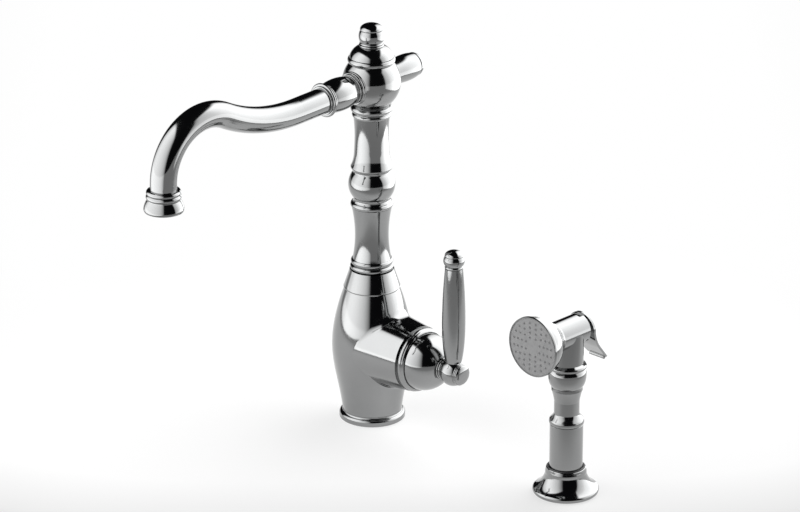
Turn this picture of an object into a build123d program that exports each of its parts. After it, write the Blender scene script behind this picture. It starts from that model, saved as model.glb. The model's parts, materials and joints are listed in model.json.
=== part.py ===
from build123d import *
from math import asin, cos, degrees, radians, sin, sqrt
import os

# Single-post kitchen faucet with a side lever and a separate pull-out side spray.
# Millimetres. +Z up, the spout points to -Y, the lever and the side spray are on the +X side.
# The origin is the centre of the faucet's base, on the deck.

# clearances
running_gap = 0.05        # radial gap of a shaft that turns in its bore
face_gap = 0.3            # gap between faces that move past each other
liner_gap = 0.15          # radial gap of the spray grip in its liner

# foot
gasket_height = 2.0
gasket_outer_r = 26.4
gasket_bore_r = 18.5
deck_line = 0.4           # the metal foot stands this far above the deck, on the gasket
foot_ring_r = 28.7
foot_ring_edge = 3.2
foot_ring_height = 8.4
foot_spigot_r = 22.0

# water inlets under the foot
inlet_plate_r = 19.0
inlet_plate_low = 12.0
inlet_plate_high = 17.0
boss_low = 3.0
thread_depth = 8.0
stud_thread_r = 3.4
stud_boss_r = 5.8
stud_offset = 11.6
hose_thread_r = 4.5
hose_boss_r = 6.4
hose_offset = 9.8
spray_thread_r = 5.9
spray_boss_r = 7.2
spray_port_offset = 10.9
supply_tube_r = 3.5
mixed_tube_r = 4.5
tube_wall = 0.8
supply_bend_r = 12.0

# turned vase body
body_height = 112.8
body_wall = 3.0
foot_r = 25.9
flank_r = 28.9
flank_height = 27.0
belly_r = 34.85
belly_height = 66.0
shoulder_r = 31.4
shoulder_height = 96.2
lip_r = 24.0
body_mouth_r = 20.5
mouth_depth = 7.2

# cap of the body: an ogee cone with two beads
cap_lip_r = 24.5
cap_neck_r = 19.2
cap_cone_height = 17.2
cap_curve_height = 6.4
bead_height = 4.9
lower_bead_r = 18.9
upper_bead_r = 18.3
bead_groove_r = 17.0
cap_web_low = 3.4
cap_web_height = 10.0

# water tube inside the column; its top is the post that the hub turns on
riser_r = 11.0
riser_bore_r = 8.5
riser_foot_drop = 3.6
riser_floor = 4.0
column_gap = 1.0
water_port_r = 4.0

# column
lower_column_length = 47.6
lower_foot_r = 16.7
lower_waist_r = 14.55
lower_waist_height = 22.5
lower_top_r = 17.4
trim_ring_height = 5.0
trim_ring_r = 18.4
ball_height = 29.7
ball_r = 20.2
ball_low_neck_r = 15.8
ball_high_neck_r = 16.0
ball_low_neck_height = 4.0
ball_high_neck_height = 26.8
upper_column_length = 47.0
upper_flare_r = 18.1
upper_flare_height = 3.0
upper_waist_r = 14.55
upper_waist_height = 30.0
upper_top_r = 15.5
collar_height = 4.4
collar_r = 16.8

# swivelling hub
hub_r = 25.1
hub_centre_rise = 27.2    # from the column's top face to the hub's centre
hub_ring_r = 18.0
hub_ring_height = 5.6
hub_neck_r = 16.4
hub_top_rise = 16.6
chamber_r = 17.0
chamber_low = 15.0
chamber_high = 8.0
bush_r = 13.2
bush_height = 6.0
top_web = 7.0
nut_room_r = 15.5
swivel_nut_across = 26.0
swivel_nut_height = 5.0
seal_wire_r = 1.5
swivel_limit = 60.0
stop_pin_r = 1.4
stop_pin_length = 7.6
stop_circle_r = 13.8
stop_slot_depth = 2.7
stop_play = 0.7

# dome and finial on the hub
dome_band_height = 5.7
dome_r = 20.0
dome_rise = 17.8
dome_band_r = 20.4
dome_bulge = 0.5
dome_flat_r = 10.4
dome_room_height = 8.0
finial_spigot_r = 5.0
finial_spigot_length = 4.6
finial_low_ring_r = 10.7
finial_high_ring_r = 10.1
finial_ring_height = 1.7
finial_ball_r = 10.9
finial_neck_r = 9.6
finial_groove_r = 8.9
finial_groove_height = 0.7
finial_cap_r = 9.7
finial_cap_height = 5.4

# spout line: everything on the hub's slightly drooping side axis
spout_droop = 2.3
water_way_r = 8.0
side_spigot_r = 11.0
side_spigot_root = 20.0
side_collar_root = 18.0
side_ring_ends = (20.4, 22.6, 24.6)
side_groove_end = 25.3
side_collar_end = 26.6
side_collar_r = 14.6
side_groove_r = 12.7
side_collar_lip_r = 13.2
egg_end = 54.0
egg_root_r = 12.0
egg_r = 14.2
egg_peak = 39.5
egg_tip_r = 12.6
small_bead_width = 2.2
large_bead_width = 2.8
bead_ring_neck = 1.4
small_bead_r = 14.0
large_bead_r = 14.9
bead_ring_neck_r = 12.5

# spout tube
tube_r = 11.2
tube_thickness = 1.2
tube_root = 50.0
spout_reach = 242.5
rise_bend_r = 164.0
rise_angle = 27.6
crest_bend_r = 47.7
tube_drop = 7.7           # straight end of the tube, down into the outlet

# outlet
outlet_socket_depth = 4.1
outlet_ring_height = 4.0
outlet_upper_ring_r = 14.5
outlet_lower_ring_r = 14.8
bell_neck_r = 13.9
bell_height = 10.4
bell_flank_r = 15.9
bell_r = 16.9
bell_mouth_r = 16.4
bell_mouth_edge = 2.3
bell_spigot_r = 12.0
bell_spigot_height = 2.6
aerator_r = 12.6
aerator_height = 6.4
aerator_inset = 1.0
aerator_web = 2.0
aerator_hole_r = 1.1
aerator_hole_pitch = 3.6

# knob opposite the spout
knob_root_r = 10.2
knob_r = 11.7
knob_peak = 39.5
knob_end = 50.4
knob_end_r = 10.5
knob_spigot_r = 5.0
knob_spigot_root = 19.5
knob_cap_r = 10.4
knob_cap_edge = 2.6
knob_cap_length = 6.0
knob_groove_r = 9.8
knob_groove = 0.7

# handle side of the body
handle_height = 69.6
housing_root = 5.0        # the cone starts this far out, inside the body
housing_taper = 5.3       # the cone is this much slimmer at its end than at its root
housing_end_rim = 1.7     # outside the groove of the ring that follows
housing_end = 55.2
housing_wall = 3.0
housing_web = 36.0
cartridge_seat_end = 40.0
cartridge_nut_r = 19.8
cartridge_nut_height = 4.0
trim_end = 60.8
trim_bead = 1.1           # stands out of its groove
trim_groove_wall = 1.7    # round the bore that the handle's dome comes out of
trim_groove = 1.5
socket_end = 62.8
socket_wall = 2.1
socket_front_wall = 0.6
socket_lip_gap = 0.3
dome_ball_gap = 0.5

# cartridge
cartridge_r = 17.5
cartridge_root = 22.0
cartridge_neck_r = 13.0
cartridge_neck_end = 52.0
turret_r = 9.0
turret_root = 36.0
turret_end = 66.0
turret_slot_root = 49.0
stem_width = 8.0
stem_height = 9.0
stem_back = 8.7
stem_side_gap = 0.1
stem_pin_r = 2.0

# handle
pivot_distance = 62.6
handle_dome_r = 25.2
handle_dome_wall = 2.2
dome_skirt_angle = 112.0
dome_nose = 85.0
dome_boss_r = 9.0
dome_boss_root = 72.0
stem_r = 5.0
neck_ring_r = 9.9
front_ring_r = 9.2
neck_ring_width = 1.7
handle_hub_r = 12.0
lever_distance = 97.0
hub_face = 104.3
cap_ring_r = 9.6
cap_ring_width = 1.3
end_cap_r = 8.8
end_cap_length = 3.0
stem_end = 101.5
set_screw_r = 2.0

# lever
lever_bottom_r = 6.8
lever_belly_r = 10.1
lever_belly_rise = 47.0
lever_length = 87.1
lever_root_rise = 8.6
lever_top_r = 7.7
lever_spigot_r = 3.0
lever_ring_r = 7.9
lever_neck_r = 7.2
lever_ring_height = 2.2
lever_ball_r = 9.1
lever_ball_low = 3.5      # the ball's widest line above its neck ring
lever_ball_high = 5.2     # and below its button
lever_rim_r = 7.9
lever_button_r = 8.1
lever_button_height = 4.7
lever_groove = 0.6

# side spray station
spray_spacing = 227.0
holder_gasket_height = 1.5
holder_gasket_r = 24.0
holder_gasket_bore_r = 15.0
flange_r = 27.9
flange_edge_low = 2.0
flange_edge_high = 4.8
flange_waist_r = 20.9
flange_waist_height = 10.0
flange_neck_r = 17.5
flange_neck_height = 17.5
flange_bead_r = 17.3
flange_height = 23.2
flange_ledge = 6.0
flange_bore_r = 13.0
liner_wall = 1.75
liner_lip = 0.8

# spray grip
grip_r = 14.1
grip_bore_r = 11.5
grip_length = 56.3
grip_seam = 0.6
grip_seam_r = 13.2
grip_plug = 4.6
shoulder_ring_r = 14.8
shoulder_ring_height = 3.9
waist_r = 10.75
waist_low = 72.5
waist_high = 83.5
waist_flare_height = 6.0
waist_foot_r = 13.3
shoulder_top = 95.6
cup_root_r = 12.9
cup_r = 16.2
cup_belly = 106.0
cup_lip_r = 14.9
cup_top = 112.8
head_ring_r = 16.3
head_ring_height = 5.2
inner_tube_r = 8.0
inner_tube_bore_r = 6.0
inner_tube_low = 26.0
inner_tube_depth = 6.0    # how far the inner tube reaches into the head

# hose connection under the grip
nipple_low = 2.2
nipple_thread_r = 7.5
nipple_thread_length = 8.0
nipple_flange_r = 10.4
nipple_flange_height = 3.4
nipple_spigot_r = 6.0
nipple_spigot_length = 10.0
nipple_bore_r = 4.2
socket_height = 16.0

# spray head
head_height = 144.6
head_neck_r = 13.5
head_neck_bore_r = 6.5
barrel_r = 12.9
barrel_back = 14.5
barrel_chamber_r = 9.0
chamber_back = 6.0
chamber_front = 20.6
spray_web = 2.0
spray_web_hole_r = 2.2
spray_web_circle_r = 6.0
bell_root = 17.0
rose_shoulder_r = 19.2
rose_shoulder = 26.2
rose_flank_r = 22.8
rose_flank = 32.0
rose_edge_r = 25.2
rose_edge = 40.6
rose_rim_r = 26.1
rose_front = 44.0
rose_wall = 2.4
face_r = 24.9
face_thickness = 1.9
face_inset = 0.5
face_hole_r = 0.6
face_hole_pitch = 4.16

# valve
seat_front = 11.0
seat_back = 8.0
seat_bore_r = 5.0
valve_gap = 0.1
poppet_r = 6.6
poppet_thickness = 2.4
valve_stem_r = 2.5
valve_tip = 17.1
spring_wire_r = 0.5
spring_coil_r = 4.6
spring_turns = 3.5

# trigger
trigger_pivot_back = 12.0
trigger_pivot_rise = 10.0
trigger_pin_r = 1.2
trigger_pin_half = 6.0
knuckle_r = 2.4
knuckle_half = 4.0
knuckle_slot_half = 4.3
trigger_thickness = 2.0
trigger_r = 13.9
trigger_lean = 9.0        # of the cover plate, from upright
trigger_face_back = 15.0
trigger_bend_drop = 1.0
trigger_bend_r = 35.0
trigger_tail_lean = 42.0
trigger_tail_length = 17.0
trigger_lip_r = 1.6
trigger_bend_half = 12.6
trigger_tail_half = 9.8
trigger_corner_r = 2.0

# heights of the stacked pieces
body_top = foot_ring_height + body_height
cap_top = body_top + cap_cone_height + 2 * bead_height
lower_column_top = cap_top + lower_column_length
trim_ring_top = lower_column_top + trim_ring_height
ball_top = trim_ring_top + ball_height
upper_column_top = ball_top + upper_column_length
column_top = upper_column_top + collar_height
hub_height = column_top + hub_centre_rise
hub_top = hub_height + hub_top_rise
chamber_floor = hub_height - chamber_low
chamber_ceiling = hub_height + chamber_high
nut_low = chamber_ceiling + top_web + face_gap
riser_bottom = body_top - riser_foot_drop
riser_top = nut_low + swivel_nut_height + 2 * face_gap
column_bore_r = riser_r + column_gap
post_bore_r = riser_r + running_gap
dome_flat = hub_top + dome_rise * sqrt(1 - (dome_flat_r / dome_r) ** 2)

# rings round the handle's dome
dome_bore_r = handle_dome_r + socket_lip_gap
socket_r = dome_bore_r + socket_wall
socket_front_r = dome_bore_r + socket_front_wall
trim_groove_r = dome_bore_r + trim_groove_wall
trim_r = trim_groove_r + trim_bead
housing_end_r = trim_groove_r + housing_end_rim
housing_root_r = housing_end_r + housing_taper

# places
handle_line = Plane(origin=(0, 0, handle_height), x_dir=(0, 1, 0), z_dir=(1, 0, 0))
droop = radians(spout_droop)
spout_line = Plane(origin=(0, 0, hub_height), x_dir=(1, 0, 0), z_dir=(0, -cos(droop), -sin(droop)))
rear_line = Plane(origin=(0, 0, hub_height), x_dir=(1, 0, 0), z_dir=(0, cos(droop), sin(droop)))
spray_place = Pos(spray_spacing, 0, 0)
head_line = Plane(origin=(spray_spacing, 0, head_height), x_dir=(1, 0, 0), z_dir=(0, -1, 0))


def turned(start, *steps):
    """Solid turned about Z from a closed outline of (radius, height) points.
    A pair is a straight step, two pairs are an arc through the first, a list is a smooth curve,
    and an edge is taken as it is."""
    edges = []
    here = start
    for step in steps:
        if isinstance(step, Edge):
            edges.append(step)
            here = ((step @ 1).X, (step @ 1).Y)
        elif isinstance(step, list):
            edges.append(Spline(here, *step))
            here = step[-1]
        elif isinstance(step[0], tuple):
            edges.append(ThreePointArc(here, *step))
            here = step[-1]
        else:
            edges.append(Line(here, step))
            here = step
    edges.append(Line(here, start))
    return revolve(Plane.XZ * make_face(edges), Axis.Z)


def tube(bore_r, outer_r, low, high):
    """Plain ring or sleeve about Z."""
    return turned((bore_r, low), (outer_r, low), (outer_r, high), (bore_r, high))


def rod(r, low, high):
    """Plain round bar about Z."""
    return Pos(0, 0, (low + high) / 2) * Cylinder(r, high - low)


def bead(base_r, crown_r, low, high):
    """Arc step of a rounded ring that stands on radius base_r between two heights."""
    return ((crown_r, (low + high) / 2), (base_r, high))


def crown(r, low, high):
    """Domed end, from radius r nearly to the axis; the step after it closes the top."""
    return EllipticalCenterArc((0, low), r, high - low, arc_size=85)


def vase_face(cut):
    """Outer line of the body, drawn in by cut, from the foot to the lip."""
    return [
        (flank_r - cut, flank_height),
        (belly_r - cut, belly_height),
        (shoulder_r - cut, shoulder_height),
        (lip_r - cut, body_top),
    ]


def body_envelope():
    return turned((0, foot_ring_height), (foot_r, foot_ring_height), vase_face(0), (0, body_top))


def housing_hollow():
    """Inside of the handle cone, from the column's axis to the web that holds the cartridge."""
    slope = (housing_root_r - housing_end_r) / (housing_end - housing_root)
    web_r = housing_root_r - slope * (housing_web - housing_root)
    root_r = housing_root_r - housing_wall
    return handle_line * turned(
        (0, 0), (root_r, 0), (root_r, housing_root), (web_r - housing_wall, housing_web), (0, housing_web)
    )


def socket_room():
    """Round room that the handle's dome turns in."""
    ball = Pos(0, 0, pivot_distance) * Sphere(handle_dome_r + dome_ball_gap)
    return handle_line * ball


# ---- foot and inlets ----

def deck_gaskets():
    foot = tube(gasket_bore_r, gasket_outer_r, 0, gasket_height)
    holder = spray_place * tube(holder_gasket_bore_r, holder_gasket_r, 0, holder_gasket_height)
    return Compound([foot, holder])


def base_ring():
    edge_top = deck_line + foot_ring_edge
    return turned(
        (foot_spigot_r, gasket_height),
        (gasket_outer_r, gasket_height),
        (gasket_outer_r, deck_line),
        (foot_ring_r - deck_line, deck_line),
        (foot_ring_r, 2 * deck_line),
        (foot_ring_r, edge_top),
        ((foot_ring_r - 0.7, edge_top + 1.9), (foot_r + 0.5, edge_top + 2.8)),
        ((foot_r - 0.1, edge_top + 3.6), (foot_r, foot_ring_height)),
        (foot_spigot_r, foot_ring_height),
    )


def inlet_plate():
    return rod(inlet_plate_r, inlet_plate_low, inlet_plate_high)


def inlet_boss(x, y, thread_r, boss_r):
    """Boss with a blind tapped hole that opens downwards."""
    boss = rod(boss_r, boss_low, inlet_plate_low) - rod(thread_r, boss_low, boss_low + thread_depth)
    return Pos(x, y, 0) * boss


def hose_inlets():
    return Compound([inlet_boss(0, side * hose_offset, hose_thread_r, hose_boss_r) for side in (1, -1)])


def bent_tube(path, r):
    section = Plane(origin=path @ 0, z_dir=path % 0) * (Circle(r) - Circle(r - tube_wall))
    return sweep(section, path=path)


def supply_tubes():
    """Hot and cold tubes up to the cartridge, and the mixed water tube up to the riser."""
    tubes = []
    for side in (1, -1):
        plane = Plane(origin=(0, side * hose_offset, 0), x_dir=(1, 0, 0), z_dir=(0, -1, 0))
        mid = supply_bend_r * (1 - cos(radians(45)))
        bend = (mid, handle_height - mid)
        up = Line((0, inlet_plate_high), (0, handle_height - supply_bend_r))
        turn = ThreePointArc(up @ 1, bend, (supply_bend_r, handle_height))
        out = Line(turn @ 1, (cartridge_root, handle_height))
        tubes.append(bent_tube(plane * Wire([up, turn, out]), supply_tube_r))
    port = handle_height + cartridge_r / 2
    bend_r = supply_bend_r
    mid = (bend_r * (1 - cos(radians(45))), port + bend_r * (1 - sin(radians(45))))
    out = Line((cartridge_root, port), (bend_r, port))
    turn = ThreePointArc(out @ 1, mid, (0, port + bend_r))
    up = Line(turn @ 1, (0, riser_bottom))
    tubes.append(bent_tube(Plane.XZ * Wire([out, turn, up]), mixed_tube_r))
    return Compound(tubes)


# ---- body and column ----

def main_body():
    shell = body_envelope()
    shell += rod(foot_spigot_r, gasket_height, foot_ring_height)
    cavity = turned(
        (0, inlet_plate_high),
        (foot_r - 2 * body_wall, inlet_plate_high),
        vase_face(body_wall)[:-1] + [(body_mouth_r, body_top - mouth_depth)],
        (body_mouth_r, body_top),
        (0, body_top),
    )
    return shell - cavity - rod(inlet_plate_r, gasket_height, inlet_plate_high) - housing_hollow()


def body_cap():
    cone_top = body_top + cap_cone_height
    first_bead = cone_top + bead_height
    web_low = body_top + cap_web_low
    web_high = web_low + cap_web_height
    spigot_bore_r = body_mouth_r - body_wall
    return turned(
        (spigot_bore_r, body_top - mouth_depth),
        (body_mouth_r, body_top - mouth_depth),
        (body_mouth_r, body_top),
        (cap_lip_r - 0.5, body_top),
        (cap_lip_r - 0.4, body_top + 0.5),
        ((cap_lip_r, body_top + 0.9), (cap_lip_r - 0.2, body_top + 1.7)),
        [
            (cap_lip_r - 1.7, body_top + cap_curve_height),
            (cap_neck_r + 1.1, cone_top - 3.4),
            (cap_neck_r, cone_top),
        ],
        (bead_groove_r, cone_top),
        bead(bead_groove_r, lower_bead_r, cone_top, first_bead),
        bead(bead_groove_r, upper_bead_r, first_bead, cap_top),
        (column_bore_r, cap_top),
        (column_bore_r, web_high),
        (riser_r, web_high),
        (riser_r, web_low),
        (spigot_bore_r, web_low),
    )


def riser_tube():
    bore_low = riser_bottom + riser_floor
    post = rod(riser_r, riser_bottom, riser_top) - rod(riser_bore_r, bore_low, chamber_ceiling)
    post -= rod(mixed_tube_r - tube_wall, riser_bottom, bore_low)
    for turn in (0, 90):
        post -= Pos(0, 0, hub_height) * Rot(0, 0, turn) * Rot(90, 0, 0) * Cylinder(water_port_r, 3 * riser_r)
    return post


def lower_column():
    waist = cap_top + lower_waist_height
    return turned(
        (column_bore_r, cap_top),
        (lower_foot_r, cap_top),
        [
            (lower_foot_r - 1.0, cap_top + 0.25 * lower_waist_height),
            (lower_waist_r, waist),
            (lower_waist_r + 1.0, waist + 0.57 * (lower_column_top - waist)),
            (lower_top_r, lower_column_top),
        ],
        (column_bore_r, lower_column_top),
    )


def column_ring():
    low = lower_column_top
    rim = lower_top_r - 0.2
    return turned(
        (column_bore_r, low),
        (rim, low),
        bead(rim, trim_ring_r, low + 0.2, trim_ring_top - 0.4),
        (ball_low_neck_r + 0.6, trim_ring_top),
        (column_bore_r, trim_ring_top),
    )


def column_ball():
    low_neck = trim_ring_top + ball_low_neck_height
    high_neck = trim_ring_top + ball_high_neck_height
    return turned(
        (column_bore_r, trim_ring_top),
        (ball_low_neck_r + 0.6, trim_ring_top),
        ((ball_low_neck_r, trim_ring_top + 1.6), (ball_low_neck_r + 0.3, low_neck)),
        bead(ball_high_neck_r + 0.3, ball_r, low_neck, high_neck),
        ((ball_high_neck_r, high_neck + 1.2), (ball_high_neck_r + 0.7, ball_top)),
        (column_bore_r, ball_top),
    )


def upper_column():
    waist = ball_top + upper_waist_height
    return turned(
        (column_bore_r, ball_top),
        (upper_flare_r - 0.9, ball_top),
        bead(upper_flare_r - 0.4, upper_flare_r, ball_top, ball_top + upper_flare_height),
        [
            (upper_flare_r - 1.9, ball_top + 0.24 * upper_waist_height),
            (upper_waist_r + 0.4, ball_top + 0.61 * upper_waist_height),
            (upper_waist_r, waist),
            (upper_top_r, upper_column_top),
        ],
        (column_bore_r, upper_column_top),
    )


def stop_slot():
    """Curved slot, behind the post, that the stop pin runs in."""
    half = swivel_limit + degrees(asin(stop_pin_r / stop_circle_r)) + stop_play
    width = 2 * (stop_pin_r + face_gap)
    section = Pos(stop_circle_r, column_top) * Rectangle(width, 2 * stop_slot_depth)
    return Rot(0, 0, 90 - half) * revolve(Plane.XZ * section, Axis.Z, revolution_arc=2 * half)


def column_collar():
    ring = turned(
        (riser_r, upper_column_top),
        (upper_top_r, upper_column_top),
        bead(upper_top_r + 0.2, collar_r, upper_column_top, column_top - 0.4),
        (upper_top_r + 0.2, column_top),
        (riser_r, column_top),
    )
    return ring - stop_slot()


# ---- swivelling hub ----

def hub():
    low = column_top + face_gap
    ring_top = low + hub_ring_height
    skirt_r = sqrt(hub_r ** 2 - (hub_height - ring_top - 0.8) ** 2)
    top_r = sqrt(hub_r ** 2 - hub_top_rise ** 2)
    ball = turned(
        (post_bore_r + face_gap, low),
        (hub_neck_r - 0.6, low),
        bead(hub_neck_r, hub_ring_r, low, ring_top),
        (skirt_r, ring_top + 0.8),
        ((hub_r, hub_height), (top_r, hub_top)),
        (nut_room_r, hub_top),
        (nut_room_r, chamber_ceiling + top_web),
        (bush_r, chamber_ceiling + top_web),
        (bush_r, chamber_ceiling),
        (chamber_r, chamber_ceiling),
        (chamber_r, chamber_floor),
        (bush_r, chamber_floor),
        (bush_r, chamber_floor - bush_height),
        (post_bore_r + face_gap, chamber_floor - bush_height),
    )
    ball -= spout_line * rod(water_way_r, 0, 2 * hub_r)
    ball -= spout_line * rod(side_spigot_r, side_spigot_root, 2 * hub_r)
    ball -= rear_line * rod(knob_spigot_r, knob_spigot_root, 2 * hub_r)
    return ball - stop_pin()


def stop_pin():
    low = column_top - stop_slot_depth + face_gap
    return Pos(0, stop_circle_r, 0) * rod(stop_pin_r, low, low + stop_pin_length)


def swivel_bushes():
    lower = tube(post_bore_r, bush_r, chamber_floor - bush_height, chamber_floor)
    upper = tube(post_bore_r, bush_r, chamber_ceiling, chamber_ceiling + top_web)
    return Compound([lower, upper])


def swivel_seals():
    ring_r = post_bore_r + seal_wire_r
    seal = Torus(ring_r, seal_wire_r)
    heights = (chamber_floor + seal_wire_r, chamber_ceiling - seal_wire_r)
    return Compound([Pos(0, 0, height) * seal for height in heights])


def swivel_nut():
    hexagon = RegularPolygon(swivel_nut_across / 2, 6, major_radius=False)
    nut = extrude(Pos(0, 0, nut_low) * hexagon, swivel_nut_height)
    return nut - rod(riser_r, nut_low, riser_top)


def hub_dome():
    band_top = hub_top + dome_band_height
    shoulder_r = dome_r * sqrt(1 - (dome_band_height / dome_rise) ** 2)
    mid_r = (shoulder_r + dome_flat_r) / 2 + 1.2
    mid = hub_top + dome_rise * sqrt(1 - (mid_r / dome_r) ** 2) + dome_bulge
    room_top = hub_top + dome_room_height
    return turned(
        (nut_room_r, hub_top),
        (dome_r - 1.6, hub_top),
        bead(dome_r - 0.7, dome_band_r, hub_top + 0.4, band_top - 0.3),
        (shoulder_r - 0.5, band_top - 0.3),
        (shoulder_r, band_top + 0.1),
        ((mid_r, mid), (dome_flat_r, dome_flat)),
        (finial_spigot_r, dome_flat),
        (finial_spigot_r, room_top),
        (nut_room_r - 3.0, room_top),
        (nut_room_r, room_top - 3.0),
    )


def finial():
    first = dome_flat + finial_ring_height
    second = first + finial_ring_height
    ball_low = sqrt(finial_ball_r ** 2 - finial_neck_r ** 2)
    ball_high = sqrt(finial_ball_r ** 2 - finial_groove_r ** 2) - 1.0
    centre = second + ball_low
    groove_r = sqrt(finial_ball_r ** 2 - ball_high ** 2)
    groove = centre + ball_high
    cap = groove + finial_groove_height
    return turned(
        (0, dome_flat - finial_spigot_length),
        (finial_spigot_r, dome_flat - finial_spigot_length),
        (finial_spigot_r, dome_flat),
        (finial_low_ring_r - 0.7, dome_flat),
        bead(finial_low_ring_r - 0.7, finial_low_ring_r, dome_flat, first),
        (finial_neck_r, first),
        bead(finial_neck_r, finial_high_ring_r, first, second),
        ((finial_ball_r, centre), (groove_r, groove)),
        (finial_groove_r, groove),
        (finial_groove_r, cap - 0.3),
        (finial_cap_r - 0.2, cap - 0.3),
        (finial_cap_r, cap + 0.3),
        crown(finial_cap_r, cap + 0.3, cap + finial_cap_height),
        (0, cap + finial_cap_height),
    )


# ---- spout ----

def spout_collar():
    """Rounded rings and a groove between the hub and the spout, cut to the hub's ball."""
    low, mid, high = side_ring_ends
    ring_r = side_collar_r - 0.6
    rings = turned(
        (side_spigot_r, side_collar_root),
        (ring_r, side_collar_root),
        (ring_r, low),
        bead(ring_r, side_collar_r, low, mid),
        bead(ring_r - 0.3, side_collar_r - 0.3, mid, high),
        (side_groove_r, high),
        (side_groove_r, side_groove_end),
        bead(side_groove_r, side_collar_lip_r, side_groove_end, side_collar_end),
        (side_spigot_r, side_collar_end),
    )
    return spout_line * rings - Pos(0, 0, hub_height) * Sphere(hub_r)


def spout_connector():
    egg = turned(
        (water_way_r, side_spigot_root),
        (side_spigot_r, side_spigot_root),
        (side_spigot_r, side_collar_end),
        (egg_root_r, side_collar_end),
        [(egg_r, egg_peak), (egg_tip_r, egg_end)],
        (tube_r, egg_end),
        (tube_r, tube_root),
        (water_way_r, tube_root),
    )
    return spout_line * egg


def spout_bead_ring():
    crown_low = egg_end + small_bead_width
    crown_high = crown_low + large_bead_width
    end = crown_high + bead_ring_neck
    rings = turned(
        (tube_r, egg_end),
        (egg_tip_r, egg_end),
        bead(egg_tip_r, small_bead_r, egg_end, crown_low),
        bead(egg_tip_r + 0.9, large_bead_r, crown_low, crown_high),
        (bead_ring_neck_r, crown_high),
        bead(bead_ring_neck_r - 0.4, bead_ring_neck_r + 0.2, crown_high, end),
        (tube_r, end),
    )
    return spout_line * rings


def spout_path():
    """Drooping run, a long upward bend, and a tight crest that ends straight down."""
    rise = radians(rise_angle)
    bends = rise_bend_r * (sin(droop) + sin(rise)) + crest_bend_r * (1 + sin(rise))
    first_run = (spout_reach - bends) / cos(droop)
    plane = Plane(origin=(0, 0, hub_height), x_dir=(0, -1, 0), z_dir=(-1, 0, 0))
    run = PolarLine((tube_root * cos(droop), -tube_root * sin(droop)), first_run - tube_root, -spout_droop)
    up = JernArc(run @ 1, run % 1, rise_bend_r, spout_droop + rise_angle)
    over = JernArc(up @ 1, up % 1, crest_bend_r, -(rise_angle + 90))
    down = PolarLine(over @ 1, tube_drop, -90)
    return plane * Wire([run, up, over, down])


tube_line = spout_path()
outlet_place = Pos(0, (tube_line @ 1).Y, (tube_line @ 1).Z)


def spout_tube():
    section = Circle(tube_r) - Circle(tube_r - tube_thickness)
    return sweep(Plane(origin=tube_line @ 0, z_dir=tube_line % 0) * section, path=tube_line)


def outlet_collar():
    """Two rings round the tube's end; heights are measured from that end."""
    low = bell_top()
    middle = low + outlet_ring_height
    high = middle + outlet_ring_height
    return outlet_place * turned(
        (bell_spigot_r, low),
        (outlet_lower_ring_r - 1.0, low),
        bead(outlet_lower_ring_r - 1.0, outlet_lower_ring_r, low, middle),
        (outlet_upper_ring_r - 1.0, middle),
        bead(outlet_upper_ring_r - 1.0, outlet_upper_ring_r, middle, high - 0.4),
        (tube_r + 1.2, high),
        (tube_r, high),
        (tube_r, 0),
        (bell_spigot_r, 0),
    )


def bell_top():
    return outlet_socket_depth - 2 * outlet_ring_height


def outlet_bell():
    top = bell_top()
    low = top - bell_height
    edge = low + bell_mouth_edge
    pocket = low + aerator_inset + aerator_height
    return outlet_place * turned(
        (tube_r - tube_thickness, top + bell_spigot_height),
        (bell_spigot_r, top + bell_spigot_height),
        (bell_spigot_r, top),
        (bell_neck_r, top),
        (bell_neck_r, top - 0.6),
        ((bell_flank_r, (top + edge) / 2 - 0.4), (bell_r, edge)),
        ((bell_r - 0.1, edge - 1.2), (bell_mouth_r, low)),
        (aerator_r, low),
        (aerator_r, pocket),
        (tube_r - tube_thickness, pocket),
    )


def aerator():
    """Flow straightener in the outlet's mouth: a ring with a drilled plate."""
    low = bell_top() - bell_height + aerator_inset
    insert = rod(aerator_r, low, low + aerator_height)
    insert -= rod(aerator_r - 2.0, low + aerator_web, low + aerator_height)
    hole = rod(aerator_hole_r, low, low + aerator_web)
    insert -= hole
    for ring in (1, 2):
        for i in range(6 * ring):
            insert -= Rot(0, 0, 60 * i / ring) * Pos(ring * aerator_hole_pitch, 0, 0) * hole
    return outlet_place * insert


# ---- rear knob ----

def rear_knob():
    barrel = turned(
        (0, knob_spigot_root),
        (knob_spigot_r, knob_spigot_root),
        (knob_spigot_r, hub_r - 4.0),
        (knob_root_r, hub_r - 4.0),
        [(knob_r - 0.4, (hub_r + knob_peak) / 2), (knob_r, knob_peak), (knob_end_r, knob_end)],
        (knob_groove_r, knob_end),
        (knob_groove_r, knob_end + knob_groove),
        (0, knob_end + knob_groove),
    )
    shell = rear_line * barrel
    spigot = rear_line * rod(knob_spigot_r, knob_spigot_root, hub_r)
    return shell - Pos(0, 0, hub_height) * Sphere(hub_r) + spigot


def rear_knob_cap():
    low = knob_end + knob_groove
    edge = low + knob_cap_edge
    high = low + knob_cap_length
    cap = turned(
        (0, low),
        (knob_cap_r - 0.3, low),
        (knob_cap_r, low + 0.5),
        ((knob_cap_r - 0.1, low + knob_cap_edge / 2), (knob_cap_r - 0.9, edge)),
        crown(knob_cap_r - 0.9, edge, high),
        (0, high),
    )
    return rear_line * cap


# ---- handle side, fixed pieces ----

def handle_housing():
    cone = turned(
        (0, housing_root), (housing_root_r, housing_root), (housing_end_r, housing_end), (0, housing_end)
    )
    housing = handle_line * cone - body_envelope() - housing_hollow() - socket_room()
    seat = handle_line * rod(cartridge_r, housing_web, housing_end)
    return housing - seat - cartridge_nut_room()


def cartridge_nut_room():
    room_end = cartridge_seat_end + 2 * cartridge_nut_height
    return handle_line * rod(cartridge_nut_r, cartridge_seat_end, room_end)


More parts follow.
